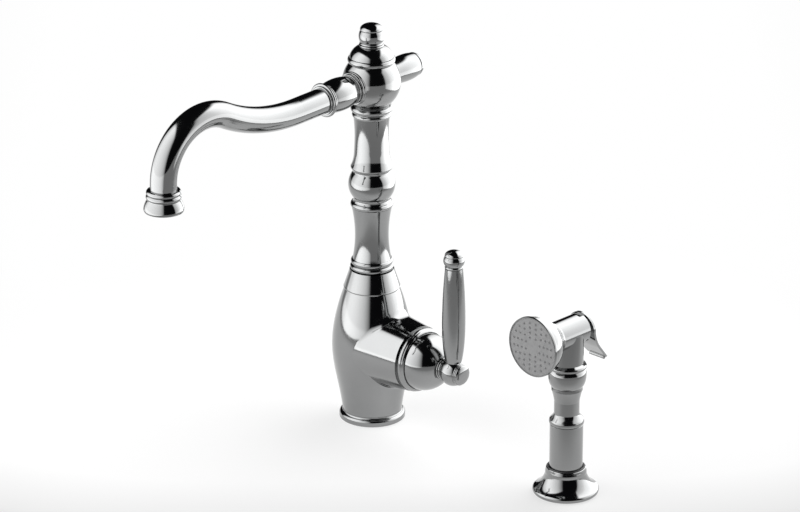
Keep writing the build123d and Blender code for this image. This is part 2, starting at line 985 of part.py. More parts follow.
def housing_ring():
    groove = housing_end + trim_groove
    ring = turned(
        (cartridge_r, housing_end),
        (trim_groove_r, housing_end),
        (trim_groove_r, groove),
        bead(trim_groove_r, trim_r, groove, trim_end),
        (cartridge_r, trim_end),
    )
    return handle_line * ring - socket_room()


def socket_ring():
    """Rounded lip that the handle's dome comes out of."""
    ring = turned(
        (dome_bore_r, trim_end),
        (trim_groove_r, trim_end),
        (socket_r, trim_end + 0.3),
        ((socket_r - 0.5, trim_end + 1.2), (socket_front_r, socket_end)),
        (dome_bore_r, socket_end),
    )
    return handle_line * ring


def cartridge_body():
    body = turned(
        (0, cartridge_root),
        (cartridge_r, cartridge_root),
        (cartridge_r, cartridge_seat_end),
        (cartridge_neck_r, cartridge_seat_end),
        (cartridge_neck_r, cartridge_neck_end),
        (turret_r + running_gap, cartridge_neck_end),
        (turret_r + running_gap, turret_root - face_gap),
        (0, turret_root - face_gap),
    )
    return handle_line * body


def cartridge_nut():
    return handle_line * tube(
        cartridge_neck_r, cartridge_nut_r, cartridge_seat_end, cartridge_seat_end + cartridge_nut_height
    )


# ---- handle, moving pieces ----

def pin_across(r, half):
    """Pin across the handle's axis, at its tilting pivot."""
    return Pos(pivot_distance, 0, handle_height) * Rot(90, 0, 0) * Cylinder(r, 2 * half)


def stem_turret():
    """Part of the cartridge that turns for hot and cold, and carries the tilting pin."""
    turret = handle_line * rod(turret_r, turret_root, turret_end)
    slot_width = stem_width + 2 * stem_side_gap
    slot = Box(turret_end - turret_slot_root, slot_width, 3 * turret_r)
    turret -= Pos((turret_end + turret_slot_root) / 2, 0, handle_height) * slot
    return turret - pin_across(stem_pin_r, 2 * turret_r)


def stem_pin():
    return pin_across(stem_pin_r, turret_r - 0.6)


def handle_stem():
    """Flat blade on the pin, and a round end that the dome and the lever's hub sit on."""
    low = pivot_distance - stem_back
    blade = Box(dome_boss_root - low, stem_width, stem_height)
    blade = Pos((low + dome_boss_root) / 2, 0, handle_height) * blade
    blade += handle_line * rod(stem_r, dome_boss_root, stem_end)
    return blade - pin_across(stem_pin_r + running_gap, stem_width)


def dome_point(r, angle):
    """Point at an angle from the handle's axis on a ball about the pivot."""
    return (r * sin(radians(angle)), pivot_distance + r * cos(radians(angle)))


def handle_dome():
    """Hollow ball about the pivot, long enough behind to keep its socket closed when it tilts."""
    nose_r = sqrt(handle_dome_r ** 2 - (dome_nose - pivot_distance) ** 2)
    nose_angle = degrees(asin(nose_r / handle_dome_r))
    inner_r = handle_dome_r - handle_dome_wall
    inside = pivot_distance + sqrt(inner_r ** 2 - dome_boss_r ** 2)
    boss_angle = degrees(asin(dome_boss_r / inner_r))
    half = (dome_skirt_angle + nose_angle) / 2
    inner_half = (dome_skirt_angle + boss_angle) / 2
    dome = turned(
        (stem_r, dome_nose),
        (nose_r, dome_nose),
        (dome_point(handle_dome_r, half), dome_point(handle_dome_r, dome_skirt_angle)),
        dome_point(inner_r, dome_skirt_angle),
        (dome_point(inner_r, inner_half), (dome_boss_r, inside)),
        (dome_boss_r, dome_boss_root),
        (stem_r, dome_boss_root),
    )
    return handle_line * dome


def hub_ball_r(distance):
    """Radius of the lever's hub ball at a distance along the handle's axis."""
    return sqrt(handle_hub_r ** 2 - (distance - lever_distance) ** 2)


def handle_hub():
    first = dome_nose + neck_ring_width
    second = first + neck_ring_width
    throat_r = hub_ball_r(second)
    ball = turned(
        (stem_r, dome_nose),
        (neck_ring_r - 1.0, dome_nose),
        bead(neck_ring_r - 1.0, neck_ring_r, dome_nose, first),
        (front_ring_r - 0.9, first),
        bead(throat_r, front_ring_r, first, second),
        ((handle_hub_r, lever_distance), (hub_ball_r(hub_face), hub_face)),
        (stem_r, hub_face),
    )
    solid = handle_line * ball
    screw = Pos(lever_distance, 0, handle_height) * rod(set_screw_r, -2 * handle_hub_r, 0)
    stud = Pos(lever_distance, 0, handle_height) * rod(lever_spigot_r, stem_r, 2 * handle_hub_r)
    return solid - screw - stud


def set_screw():
    """Grub screw under the hub that grips the stem, with a hexagon socket."""
    head = -handle_hub_r + 0.8
    screw = rod(set_screw_r, head, -stem_r)
    screw -= extrude(Plane(origin=(0, 0, head)) * RegularPolygon(1.1, 6), 2.0)
    return Pos(lever_distance, 0, handle_height) * screw


def hub_end_cap():
    first = hub_face + cap_ring_width
    second = first + cap_ring_width
    high = second + end_cap_length
    cap = turned(
        (0, stem_end),
        (stem_r, stem_end),
        (stem_r, hub_face),
        (cap_ring_r - 0.6, hub_face),
        bead(cap_ring_r - 0.6, cap_ring_r, hub_face, first),
        bead(cap_ring_r - 0.7, cap_ring_r - 0.2, first, second),
        (end_cap_r, second),
        crown(end_cap_r, second, high),
        (0, high),
    )
    return handle_line * cap


def lever():
    """Turned baluster, cut to the hub's ball, with a stud into it."""
    root = lever_root_rise
    belly = lever_belly_rise
    top = root + lever_length
    bar = turned(
        (0, root),
        (lever_bottom_r, root),
        [
            (lever_belly_r - 1.0, root + 0.38 * (belly - root)),
            (lever_belly_r, belly),
            (lever_belly_r - 0.8, belly + 0.57 * (top - belly)),
            (lever_top_r, top),
        ],
        (0, top),
    )
    place = Pos(lever_distance, 0, handle_height)
    stud = place * rod(lever_spigot_r, stem_r, 2 * handle_hub_r)
    ball = handle_line * Pos(0, 0, lever_distance) * Sphere(handle_hub_r)
    return place * bar - ball + stud


def lever_finial():
    """Ball with a button on top, on a thin ring."""
    low = lever_root_rise + lever_length
    neck = low + lever_ring_height
    centre = neck + lever_ball_low
    rim = centre + lever_ball_high
    button = rim + lever_groove
    top = button + lever_button_height
    knob = turned(
        (0, low),
        (lever_neck_r, low),
        bead(lever_neck_r, lever_ring_r, low, neck),
        ((lever_ball_r, centre), (lever_rim_r, rim)),
        (lever_rim_r - lever_groove, rim),
        (lever_rim_r - lever_groove, button),
        (lever_button_r, button),
        crown(lever_button_r, button, top),
        (0, top),
    )
    return Pos(lever_distance, 0, handle_height) * knob


# ---- side spray station ----

def liner_r():
    return grip_r + liner_gap


def holder_flange():
    """Flared foot that the hose passes through and the spray stands in."""
    neck = flange_neck_height
    seat_r = liner_r() + liner_wall
    return spray_place * turned(
        (flange_bore_r, holder_gasket_height),
        (holder_gasket_r, holder_gasket_height),
        (holder_gasket_r, deck_line),
        (flange_r - 1.4, deck_line),
        ((flange_r - 0.3, deck_line + 0.7), (flange_r, flange_edge_low)),
        ((flange_r - 0.1, flange_edge_high - 1.0), (flange_r - 0.9, flange_edge_high)),
        ((flange_waist_r, flange_waist_height), (flange_neck_r, neck)),
        bead(flange_neck_r - 0.4, flange_bead_r + 0.2, neck, neck + 3.6),
        (seat_r + 0.7, flange_height - 0.4),
        (seat_r + 0.3, flange_height),
        (seat_r, flange_height),
        (seat_r, flange_ledge),
        (flange_bore_r, flange_ledge),
    )


def holder_liner():
    bore_r = liner_r()
    return spray_place * turned(
        (bore_r, flange_ledge),
        (bore_r + liner_wall, flange_ledge),
        (bore_r + liner_wall, flange_height),
        (bore_r + liner_wall - 0.4, flange_height + liner_lip),
        (bore_r + 0.3, flange_height + liner_lip),
        (bore_r, flange_height + liner_lip - 0.3),
    )


def grip_low():
    return flange_ledge + face_gap


def grip_top():
    return grip_low() + grip_length


def spray_grip():
    low = grip_low()
    top = grip_top()
    return spray_place * turned(
        (grip_bore_r, low),
        (grip_r - 0.6, low),
        (grip_r, low + 0.6),
        (grip_r, top - 0.3),
        (grip_r - 0.3, top),
        (grip_bore_r, top),
    )


def spray_shoulder():
    top = grip_top()
    ring = top + grip_seam
    ring_top = ring + shoulder_ring_height
    return spray_place * turned(
        (inner_tube_r, top - grip_plug),
        (grip_bore_r, top - grip_plug),
        (grip_bore_r, top),
        (grip_seam_r, top),
        (grip_seam_r, ring),
        (shoulder_ring_r - 0.3, ring),
        bead(shoulder_ring_r - 0.5, shoulder_ring_r, ring, ring_top),
        [(shoulder_ring_r - 1.9, ring_top + 1.5), (waist_r + 0.5, waist_low - 1.6), (waist_r, waist_low)],
        [(waist_r - 0.05, (waist_low + waist_high) / 2), (waist_r, waist_high)],
        [(waist_r + 1.2, waist_high + waist_flare_height), (waist_foot_r, shoulder_top - 1.6)],
        (waist_foot_r - 0.2, shoulder_top),
        (inner_tube_r, shoulder_top),
    )


def spray_cup():
    head_base = cup_top + head_ring_height
    return spray_place * turned(
        (inner_tube_r, shoulder_top),
        (cup_root_r, shoulder_top),
        (cup_root_r, shoulder_top + 0.7),
        [
            (cup_r - 0.6, cup_belly - 4.2),
            (cup_r, cup_belly),
            (cup_r - 0.2, cup_top - 2.4),
            (cup_lip_r, cup_top),
        ],
        bead(cup_lip_r, head_ring_r, cup_top, head_base - 0.9),
        (head_neck_r, head_base),
        (inner_tube_r, head_base),
    )


def inner_tube():
    """Water tube from the hose swivel to the head, which the turned pieces are strung on."""
    high = cup_top + head_ring_height + inner_tube_depth
    return spray_place * tube(inner_tube_bore_r, inner_tube_r, inner_tube_low, high)


def swivel_socket():
    """Plug in the grip's foot that turns on the hose connector."""
    low = nipple_low + nipple_thread_length + nipple_flange_height + face_gap
    return spray_place * turned(
        (nipple_spigot_r + running_gap, low),
        (grip_bore_r, low),
        (grip_bore_r, low + socket_height),
        (inner_tube_r, low + socket_height),
        (inner_tube_r, inner_tube_low),
        (nipple_spigot_r + running_gap, inner_tube_low),
    )


def hose_connector():
    thread_top = nipple_low + nipple_thread_length
    flange_top = thread_top + nipple_flange_height
    return spray_place * turned(
        (nipple_bore_r, nipple_low),
        (nipple_thread_r, nipple_low),
        (nipple_thread_r, thread_top),
        (nipple_flange_r, thread_top),
        (nipple_flange_r, flange_top),
        (nipple_spigot_r, flange_top),
        (nipple_spigot_r, flange_top + nipple_spigot_length),
        (nipple_bore_r, flange_top + nipple_spigot_length),
    )


def spray_head():
    """Hollow tee: upright neck, barrel to the back, and the bell of the rose to the front."""
    base = cup_top + head_ring_height
    neck = spray_place * rod(head_neck_r, base, head_height)
    bell = turned(
        (0, -barrel_back),
        (barrel_r - 0.4, -barrel_back),
        (barrel_r, 0.4 - barrel_back),
        (barrel_r, bell_root),
        [
            (barrel_r + 1.8, bell_root + 4.0),
            (rose_shoulder_r, rose_shoulder),
            (rose_flank_r, rose_flank),
            (rose_edge_r, rose_edge),
        ],
        (rose_rim_r - 0.3, rose_edge + 0.2),
        bead(rose_rim_r - 0.3, rose_rim_r, rose_edge + 0.2, rose_front),
        (0, rose_front),
    )
    web_front = chamber_front + spray_web
    rose_room = turned(
        (0, web_front),
        (barrel_chamber_r, web_front),
        [
            (rose_shoulder_r - rose_wall, rose_shoulder + 1.4),
            (rose_flank_r - rose_wall, rose_flank + 1.4),
            (face_r - rose_wall, rose_front - face_inset - face_thickness),
        ],
        (face_r, rose_front - face_inset - face_thickness),
        (face_r, rose_front),
        (0, rose_front),
    )
    head = neck + head_line * bell
    head -= head_line * rose_room
    head -= head_line * rod(barrel_chamber_r, -chamber_back, chamber_front)
    head -= spray_place * rod(head_neck_bore_r, base, head_height)
    head -= spray_place * rod(inner_tube_r, base, base + inner_tube_depth)
    head -= head_line * rod(valve_stem_r + running_gap, -barrel_back, 0)
    hole = Pos(spray_web_circle_r, 0, 0) * rod(spray_web_hole_r, chamber_front, web_front)
    for i in range(6):
        head -= head_line * Rot(0, 0, 60 * i) * hole
    return head - trigger_slot() - trigger_pin()


def spray_face():
    back = rose_front - face_inset - face_thickness
    plate = rod(face_r, back, back + face_thickness)
    hole = rod(face_hole_r, back, back + face_thickness)
    for ring in (2, 3, 4, 5):
        for i in range(4 * ring):
            plate -= Rot(0, 0, 90 * (i + 0.5) / ring) * Pos(ring * face_hole_pitch, 0, 0) * hole
    return head_line * plate


# ---- valve and trigger ----

def valve_seat():
    return head_line * tube(seat_bore_r, barrel_chamber_r, seat_back, seat_front)


def valve_stem():
    """Poppet on a stem that comes out behind the barrel, under the trigger."""
    front = seat_front + valve_gap
    stem = turned(
        (0, front + poppet_thickness),
        (poppet_r, front + poppet_thickness),
        (poppet_r, front),
        (valve_stem_r, front),
        (valve_stem_r, valve_stem_r - valve_tip),
        ((0.7 * valve_stem_r, 0.3 * valve_stem_r - valve_tip), (0.2, -valve_tip)),
        (0, -valve_tip),
    )
    return head_line * stem


def valve_spring():
    low = seat_front + valve_gap + poppet_thickness + spring_wire_r
    high = chamber_front - spring_wire_r
    coil = Helix(pitch=(high - low) / spring_turns, height=high - low, radius=spring_coil_r)
    wire = sweep(Plane(origin=coil @ 0, z_dir=coil % 0) * Circle(spring_wire_r), path=coil, is_frenet=True)
    return head_line * Pos(0, 0, low) * wire


def trigger_pivot():
    return Pos(spray_spacing, trigger_pivot_back, head_height + trigger_pivot_rise)


def trigger_pin():
    return trigger_pivot() * Rot(0, 90, 0) * Cylinder(trigger_pin_r, 2 * trigger_pin_half)


def trigger_slot():
    """Slot in the barrel's top that the trigger's knuckle turns in."""
    room = knuckle_r + face_gap + 0.1
    depth = barrel_back - trigger_pivot_back + 1.0
    box = Box(2 * knuckle_slot_half, depth + room, 2 * barrel_r, align=(Align.CENTER, Align.MIN, Align.MIN))
    return trigger_pivot() * Pos(0, -room, -room) * box


def trigger_side():
    """Side line of the trigger's sheet, in (back, rise) from the head's centre."""
    lean = radians(trigger_lean)
    top = (trigger_face_back, trigger_r)
    straight = (trigger_r + trigger_bend_drop) / cos(lean)
    plate = PolarLine(top, straight, trigger_lean - 90)
    bend = JernArc(plate @ 1, plate % 1, trigger_bend_r, trigger_tail_lean - trigger_lean)
    tail = PolarLine(bend @ 1, trigger_tail_length, trigger_tail_lean - 90)
    return Wire([plate, bend, tail])


def trigger_lever():
    """Cover plate behind the barrel that leans away from it and runs out in a wide thumb tail."""
    side = Plane(origin=(spray_spacing, 0, head_height), x_dir=(0, 1, 0), z_dir=(1, 0, 0))
    front = Plane(origin=(spray_spacing, 0, head_height), x_dir=(1, 0, 0), z_dir=(0, -1, 0))
    path = trigger_side()
    strip = offset(path, trigger_thickness, side=Side.LEFT)
    plate = extrude(side * make_face(strip.edges()), trigger_r, both=True)
    end = (path @ 1).Y
    tongue = make_face(Polyline(
        (-trigger_r, 0), (-trigger_bend_half, -barrel_r), (-trigger_tail_half, end),
        (trigger_tail_half, end), (trigger_bend_half, -barrel_r), (trigger_r, 0),
        close=True,
    ))
    corners = tongue.vertices().sort_by(Axis.Y)[:2]
    shape = Circle(trigger_r) + fillet(corners, trigger_corner_r)
    plate &= extrude(front * shape, -4 * trigger_tail_length)
    tip = path @ 1
    lip_length = 2 * (trigger_tail_half - trigger_corner_r)
    plate += side * Pos(tip.X, tip.Y, 0) * Cylinder(trigger_lip_r, lip_length)
    web_back = trigger_face_back + 0.8
    web = Box(2 * knuckle_half, web_back - trigger_pivot_back, 1.4 * knuckle_r,
              align=(Align.CENTER, Align.MIN, Align.CENTER))
    knuckle = Rot(0, 90, 0) * Cylinder(knuckle_r, 2 * knuckle_half)
    hole = Rot(0, 90, 0) * Cylinder(trigger_pin_r + running_gap, 2 * trigger_r)
    return plate + trigger_pivot() * (web + knuckle) - trigger_pivot() * hole


pieces = {
    "deck_gaskets": deck_gaskets(),
    "base_ring": base_ring(),
    "inlet_plate": inlet_plate(),
    "stud_boss": inlet_boss(-stud_offset, 0, stud_thread_r, stud_boss_r),
    "hose_inlets": hose_inlets(),
    "spray_outlet": inlet_boss(spray_port_offset, 0, spray_thread_r, spray_boss_r),
    "supply_tubes": supply_tubes(),
    "main_body": main_body(),
    "body_cap": body_cap(),
    "riser_tube": riser_tube(),
    "lower_column": lower_column(),
    "column_ring": column_ring(),
    "column_ball": column_ball(),
    "upper_column": upper_column(),
    "column_collar": column_collar(),
    "swivel_nut": swivel_nut(),
    "hub": hub(),
    "swivel_bushes": swivel_bushes(),
    "swivel_seals": swivel_seals(),
    "stop_pin": stop_pin(),
    "hub_dome": hub_dome(),
    "finial": finial(),
    "spout_collar": spout_collar(),
    "spout_connector": spout_connector(),
    "spout_bead_ring": spout_bead_ring(),
    "spout_tube": spout_tube(),
    "outlet_collar": outlet_collar(),
    "outlet_bell": outlet_bell(),
    "aerator": aerator(),
    "rear_knob": rear_knob(),
    "rear_knob_cap": rear_knob_cap(),
    "handle_housing": handle_housing(),
    "housing_ring": housing_ring(),
    "socket_ring": socket_ring(),
    "cartridge_body": cartridge_body(),
    "cartridge_nut": cartridge_nut(),
    "stem_turret": stem_turret(),
    "stem_pin": stem_pin(),
    "handle_stem": handle_stem(),
    "handle_dome": handle_dome(),
    "handle_hub": handle_hub(),
    "hub_end_cap": hub_end_cap(),
    "set_screw": set_screw(),
    "lever": lever(),
    "lever_finial": lever_finial(),
    "holder_flange": holder_flange(),
    "holder_liner": holder_liner(),
    "spray_grip": spray_grip(),
    "spray_shoulder": spray_shoulder(),
    "spray_cup": spray_cup(),
    "inner_tube": inner_tube(),
    "swivel_socket": swivel_socket(),
    "hose_connector": hose_connector(),
    "spray_head": spray_head(),
    "spray_face": spray_face(),
    "valve_seat": valve_seat(),
    "valve_stem": valve_stem(),
    "valve_spring": valve_spring(),
    "trigger_pin": trigger_pin(),
    "trigger_lever": trigger_lever(),
}

os.makedirs("parts", exist_ok=True)
for name, piece in pieces.items():
    export_step(piece, "parts/" + name + ".step")
print(len(pieces), "pieces written")
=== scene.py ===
import json
import math

import bmesh
import bpy
from mathutils import Matrix, Vector
from mathutils.bvhtree import BVHTree

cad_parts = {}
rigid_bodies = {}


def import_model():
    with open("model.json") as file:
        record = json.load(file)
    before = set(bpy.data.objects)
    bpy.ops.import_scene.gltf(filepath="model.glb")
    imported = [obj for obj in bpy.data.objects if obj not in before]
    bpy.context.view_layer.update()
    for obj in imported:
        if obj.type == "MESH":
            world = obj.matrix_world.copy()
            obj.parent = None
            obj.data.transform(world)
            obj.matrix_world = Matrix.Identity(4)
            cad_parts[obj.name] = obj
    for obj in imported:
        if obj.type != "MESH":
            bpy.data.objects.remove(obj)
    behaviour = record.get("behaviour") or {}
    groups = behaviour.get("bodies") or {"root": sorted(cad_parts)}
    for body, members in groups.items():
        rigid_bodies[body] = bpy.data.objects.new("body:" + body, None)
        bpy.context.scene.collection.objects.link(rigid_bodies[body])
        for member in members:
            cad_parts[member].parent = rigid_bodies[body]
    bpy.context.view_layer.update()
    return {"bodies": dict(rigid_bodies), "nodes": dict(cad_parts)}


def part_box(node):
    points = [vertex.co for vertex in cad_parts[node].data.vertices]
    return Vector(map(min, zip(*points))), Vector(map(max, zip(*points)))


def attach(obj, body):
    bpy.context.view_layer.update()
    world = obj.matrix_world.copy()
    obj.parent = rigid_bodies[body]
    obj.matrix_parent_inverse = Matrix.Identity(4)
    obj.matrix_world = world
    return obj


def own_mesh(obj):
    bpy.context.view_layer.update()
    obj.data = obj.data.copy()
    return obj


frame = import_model()
nodes = frame["nodes"]

mm = 0.001


cameraView = {
    "azimuth": 44.0,              # degrees round the faucet from its front
    "elevation": 22.0,
    "distance": 4.011,            # metres from the faucet's foot, along the view
    "lens": 206.9,                # mm, as is the sensor's width
    "sensorWidth": 36.0,
    "picture": (800, 512),
    "footPixel": (372.3, 414.5),  # where the foot's centre lies in the picture
    "clip": (0.1, 60.0),
}


def viewAxes(azimuth, elevation):
    a, e = math.radians(azimuth), math.radians(elevation)
    right = Vector((math.cos(a), math.sin(a), 0))
    up = Vector((-math.sin(a) * math.sin(e), math.cos(a) * math.sin(e), math.cos(e)))
    ahead = Vector((-math.sin(a) * math.cos(e), math.cos(a) * math.cos(e), -math.sin(e)))
    return right, up, ahead


def makeCamera(look):
    right, up, ahead = viewAxes(look["azimuth"], look["elevation"])
    wide, high = look["picture"]
    pixel = look["sensorWidth"] / look["lens"] / wide * look["distance"]    # metres at the foot
    across = (look["footPixel"][0] - wide / 2) * pixel
    rise = (high / 2 - look["footPixel"][1]) * pixel
    data = bpy.data.cameras.new("photoCamera")
    data.lens = look["lens"]
    data.sensor_width = look["sensorWidth"]
    data.clip_start, data.clip_end = look["clip"]
    camera = bpy.data.objects.new("photoCamera", data)
    bpy.context.scene.collection.objects.link(camera)
    turn = Matrix((right, up, -ahead)).transposed().to_4x4()
    place = -(across * right + rise * up + look["distance"] * ahead)
    camera.matrix_world = Matrix.Translation(place) @ turn
    bpy.context.scene.camera = camera


makeCamera(cameraView)
print("camera placed")


def newMaterial(name):
    material = bpy.data.materials.new(name)
    material.use_nodes = True
    tree = material.node_tree
    shader = tree.nodes["Principled BSDF"]
    return material, tree, shader


def addNode(tree, kind, **settings):
    node = tree.nodes.new("ShaderNode" + kind)
    for setting, value in settings.items():
        setattr(node, setting, value)
    return node


def addMath(tree, operation, *values):
    node = addNode(tree, "Math", operation=operation)
    for socket, value in zip(node.inputs, values):
        if isinstance(value, (int, float)):
            socket.default_value = value
        else:
            tree.links.new(value, socket)
    return node.outputs["Value"]


def addFade(tree, value, start, end, low, high, kind="SMOOTHSTEP"):
    fade = addNode(tree, "MapRange", interpolation_type=kind)
    for socket, number in zip(("From Min", "From Max", "To Min", "To Max"), (start, end, low, high)):
        fade.inputs[socket].default_value = number
    tree.links.new(value, fade.inputs["Value"])
    return fade.outputs["Result"]


def addRamp(tree, value, stops):
    ramp = addNode(tree, "ValToRGB")
    elements = ramp.color_ramp.elements
    while len(elements) < len(stops):
        elements.new(1.0)
    for element, (place, colour) in zip(elements, stops):
        element.position = place
        element.color = (*colour, 1)
    tree.links.new(value, ramp.inputs["Fac"])
    return ramp.outputs["Color"]


def greys(stops):
    return [(place, (level, level, level)) for place, level in stops]


# white paper under the faucet with a painted pool of light that fills the picture and painted shade round
# it, light grey further out; the chrome shows that shade as its darker reflections
paper = {
    "paintedPoolMiddle": (0.024, 0.80),    # metres to the right and behind the faucet, as the camera sees it
    "paintedPoolSize": (0.62, 1.12),       # half its width and half its length
    "paintedPoolCorners": 4,               # 2 makes an oval, more fills out its corners
    # (distance from the painted pool's middle, in half sizes, and the painted brightness of the paper
    # there)
    "paintedPoolLevels": ((0.6, 1.0), (0.84, 0.97), (0.91, 0.84), (0.985, 0.58), (1.1, 0.46), (1.5, 0.43)),
    "shadowDepth": 0.35,            # how strongly the paper keeps a shadow near the faucet
    "shadowReach": (0.18, 0.48),    # metres from the faucet over which the shadow goes
    "size": 14.0,
    "roughness": 0.9,
}


def paperPlace(tree, cameraAzimuth):
    place = addNode(tree, "TexCoord")
    turned = addNode(tree, "Mapping")
    turned.inputs["Rotation"].default_value = (0, 0, -math.radians(cameraAzimuth))
    tree.links.new(place.outputs["Object"], turned.inputs["Vector"])
    parts = addNode(tree, "SeparateXYZ")
    tree.links.new(turned.outputs["Vector"], parts.inputs["Vector"])
    apart = addNode(tree, "VectorMath", operation="LENGTH")
    tree.links.new(turned.outputs["Vector"], apart.inputs[0])
    return parts.outputs["X"], parts.outputs["Y"], apart.outputs["Value"]


# painted pool of light on the paper, dimming into painted shade further out
def paintedPoolBrightness(tree, setup, aside, behind):
    powers = []
    for value, middle, half in zip((aside, behind), setup["paintedPoolMiddle"], setup["paintedPoolSize"]):
        away = addMath(tree, "DIVIDE", addMath(tree, "SUBTRACT", value, middle), half)
        powers.append(addMath(tree, "POWER", addMath(tree, "ABSOLUTE", away), setup["paintedPoolCorners"]))
    apart = addMath(tree, "POWER", addMath(tree, "ADD", *powers), 1 / setup["paintedPoolCorners"])
    first, last = setup["paintedPoolLevels"][0][0], setup["paintedPoolLevels"][-1][0]
    along = addFade(tree, apart, first, last, 0, 1, "LINEAR")
    stops = [((place - first) / (last - first), level) for place, level in setup["paintedPoolLevels"]]
    return addRamp(tree, along, greys(stops))


def paperMaterial(setup, cameraAzimuth):
    material, tree, shader = newMaterial("floorPaperPaintedPool")
    aside, behind, apart = paperPlace(tree, cameraAzimuth)
    # the paper's colour is the painted pool of light and its painted shade
    paintedPoolLight = paintedPoolBrightness(tree, setup, aside, behind)
    shader.inputs["Roughness"].default_value = setup["roughness"]
    shader.inputs["Specular IOR Level"].default_value = 0.0
    tree.links.new(paintedPoolLight, shader.inputs["Base Color"])
    # the painted pool and its painted shade glow for camera, glossy and transmission rays, so the chrome
    # shows them as painted reflections
    paintedPoolGlow = addNode(tree, "Emission")
    tree.links.new(paintedPoolLight, paintedPoolGlow.inputs["Color"])
    rays = addNode(tree, "LightPath")
    seen = addMath(tree, "ADD", rays.outputs["Is Camera Ray"], rays.outputs["Is Glossy Ray"])
    seen = addMath(tree, "ADD", seen, rays.outputs["Is Transmission Ray"])
    bare = addFade(tree, apart, *setup["shadowReach"], 1 - setup["shadowDepth"], 1)
    seen = addMath(tree, "MULTIPLY", seen, bare)
    mix = addNode(tree, "MixShader")
    tree.links.new(seen, mix.inputs[0])
    tree.links.new(shader.outputs["BSDF"], mix.inputs[1])
    tree.links.new(paintedPoolGlow.outputs["Emission"], mix.inputs[2])
    tree.links.new(mix.outputs["Shader"], tree.nodes["Material Output"].inputs["Surface"])
    return material


def makeFloor(setup, cameraAzimuth):
    half = setup["size"] / 2
    mesh = bpy.data.meshes.new("studioFloor")
    corners = [(-half, -half, 0), (half, -half, 0), (half, half, 0), (-half, half, 0)]
    mesh.from_pydata(corners, [], [(0, 1, 2, 3)])
    mesh.materials.append(paperMaterial(setup, cameraAzimuth))
    floor = bpy.data.objects.new("studioFloor", mesh)
    bpy.context.scene.collection.objects.link(floor)


# a tall softbox on each side; azimuths are measured from the camera, to the right, and
# stops are (place across the box, glow), from its left end to its right end
studio = {
    "middle": (0.04, -0.02, 0.0),   # where the distances start, in metres
    "lift": 0.005,                  # height of the boxes' lower edges
    "topFade": (0.78, 1.0),         # share of its height over which each box dims
    "worldColour": (0.008, 0.008, 0.009),
    "boxes": {
        "leftBox": {
            "azimuth": -64, "distance": 0.57, "size": (1.78, 1.34),
            "stops": ((0, 0), (0.08, 1.35), (0.15, 1.89), (0.25, 2.16), (0.334, 2.7), (0.434, 2.7),
                      (0.524, 2.43), (0.617, 2.03), (0.729, 1.55), (0.828, 1.01), (0.935, 0.41), (1, 0)),
        },
        "rightBox": {
            "azimuth": 112, "distance": 0.59, "size": (1.75, 1.38),
            "stops": ((0, 0.41), (0.073, 1.08), (0.129, 1.42), (0.2, 1.62), (0.276, 1.96), (0.355, 2.7),
                      (0.456, 3.24), (0.519, 3.51), (0.69, 3.51), (0.78, 3.1), (0.898, 2.29), (1, 0.54)),
        },
    },
}


def boxGlow(data, box, topFade):
    data.use_nodes = True
    tree = data.node_tree
    across = addNode(tree, "NewGeometry")
    parts = addNode(tree, "SeparateXYZ")
    tree.links.new(across.outputs["Parametric"], parts.inputs["Vector"])
    light = tree.nodes["Emission"]
    tree.links.new(addRamp(tree, parts.outputs["X"], greys(box["stops"])), light.inputs["Color"])
    tree.links.new(addFade(tree, parts.outputs["Y"], *topFade, 1, 0), light.inputs["Strength"])


def makeSoftbox(name, box, setup, cameraAzimuth):
    a = math.radians(cameraAzimuth + box["azimuth"])
    away = Vector((math.sin(a), -math.cos(a), 0))
    wide, high = box["size"]
    data = bpy.data.lights.new(name, "AREA")
    data.shape = "RECTANGLE"
    data.size, data.size_y = wide, high
    data.energy = math.pi * wide * high     # so that a glow of 1 shines as white does
    boxGlow(data, box, setup["topFade"])
    softbox = bpy.data.objects.new(name, data)
    bpy.context.scene.collection.objects.link(softbox)
    rise = Vector((0, 0, high / 2 + setup["lift"]))
    softbox.location = Vector(setup["middle"]) + away * box["distance"] + rise
    softbox.rotation_mode = "QUATERNION"
    softbox.rotation_quaternion = away.to_track_quat("Z", "Y")
    softbox.visible_camera = False


def makeWorld(colour):
    world = bpy.data.worlds.new("studioRoom")
    world.use_nodes = True
    world.node_tree.nodes["Background"].inputs["Color"].default_value = (*colour, 1)
    bpy.context.scene.world = world


makeFloor(paper, cameraView["azimuth"])
for boxName, box in studio["boxes"].items():
    makeSoftbox(boxName, box, studio, cameraView["azimuth"])
makeWorld(studio["worldColour"])
bpy.context.scene.view_settings.view_transform = "Standard"
print("studio lit")


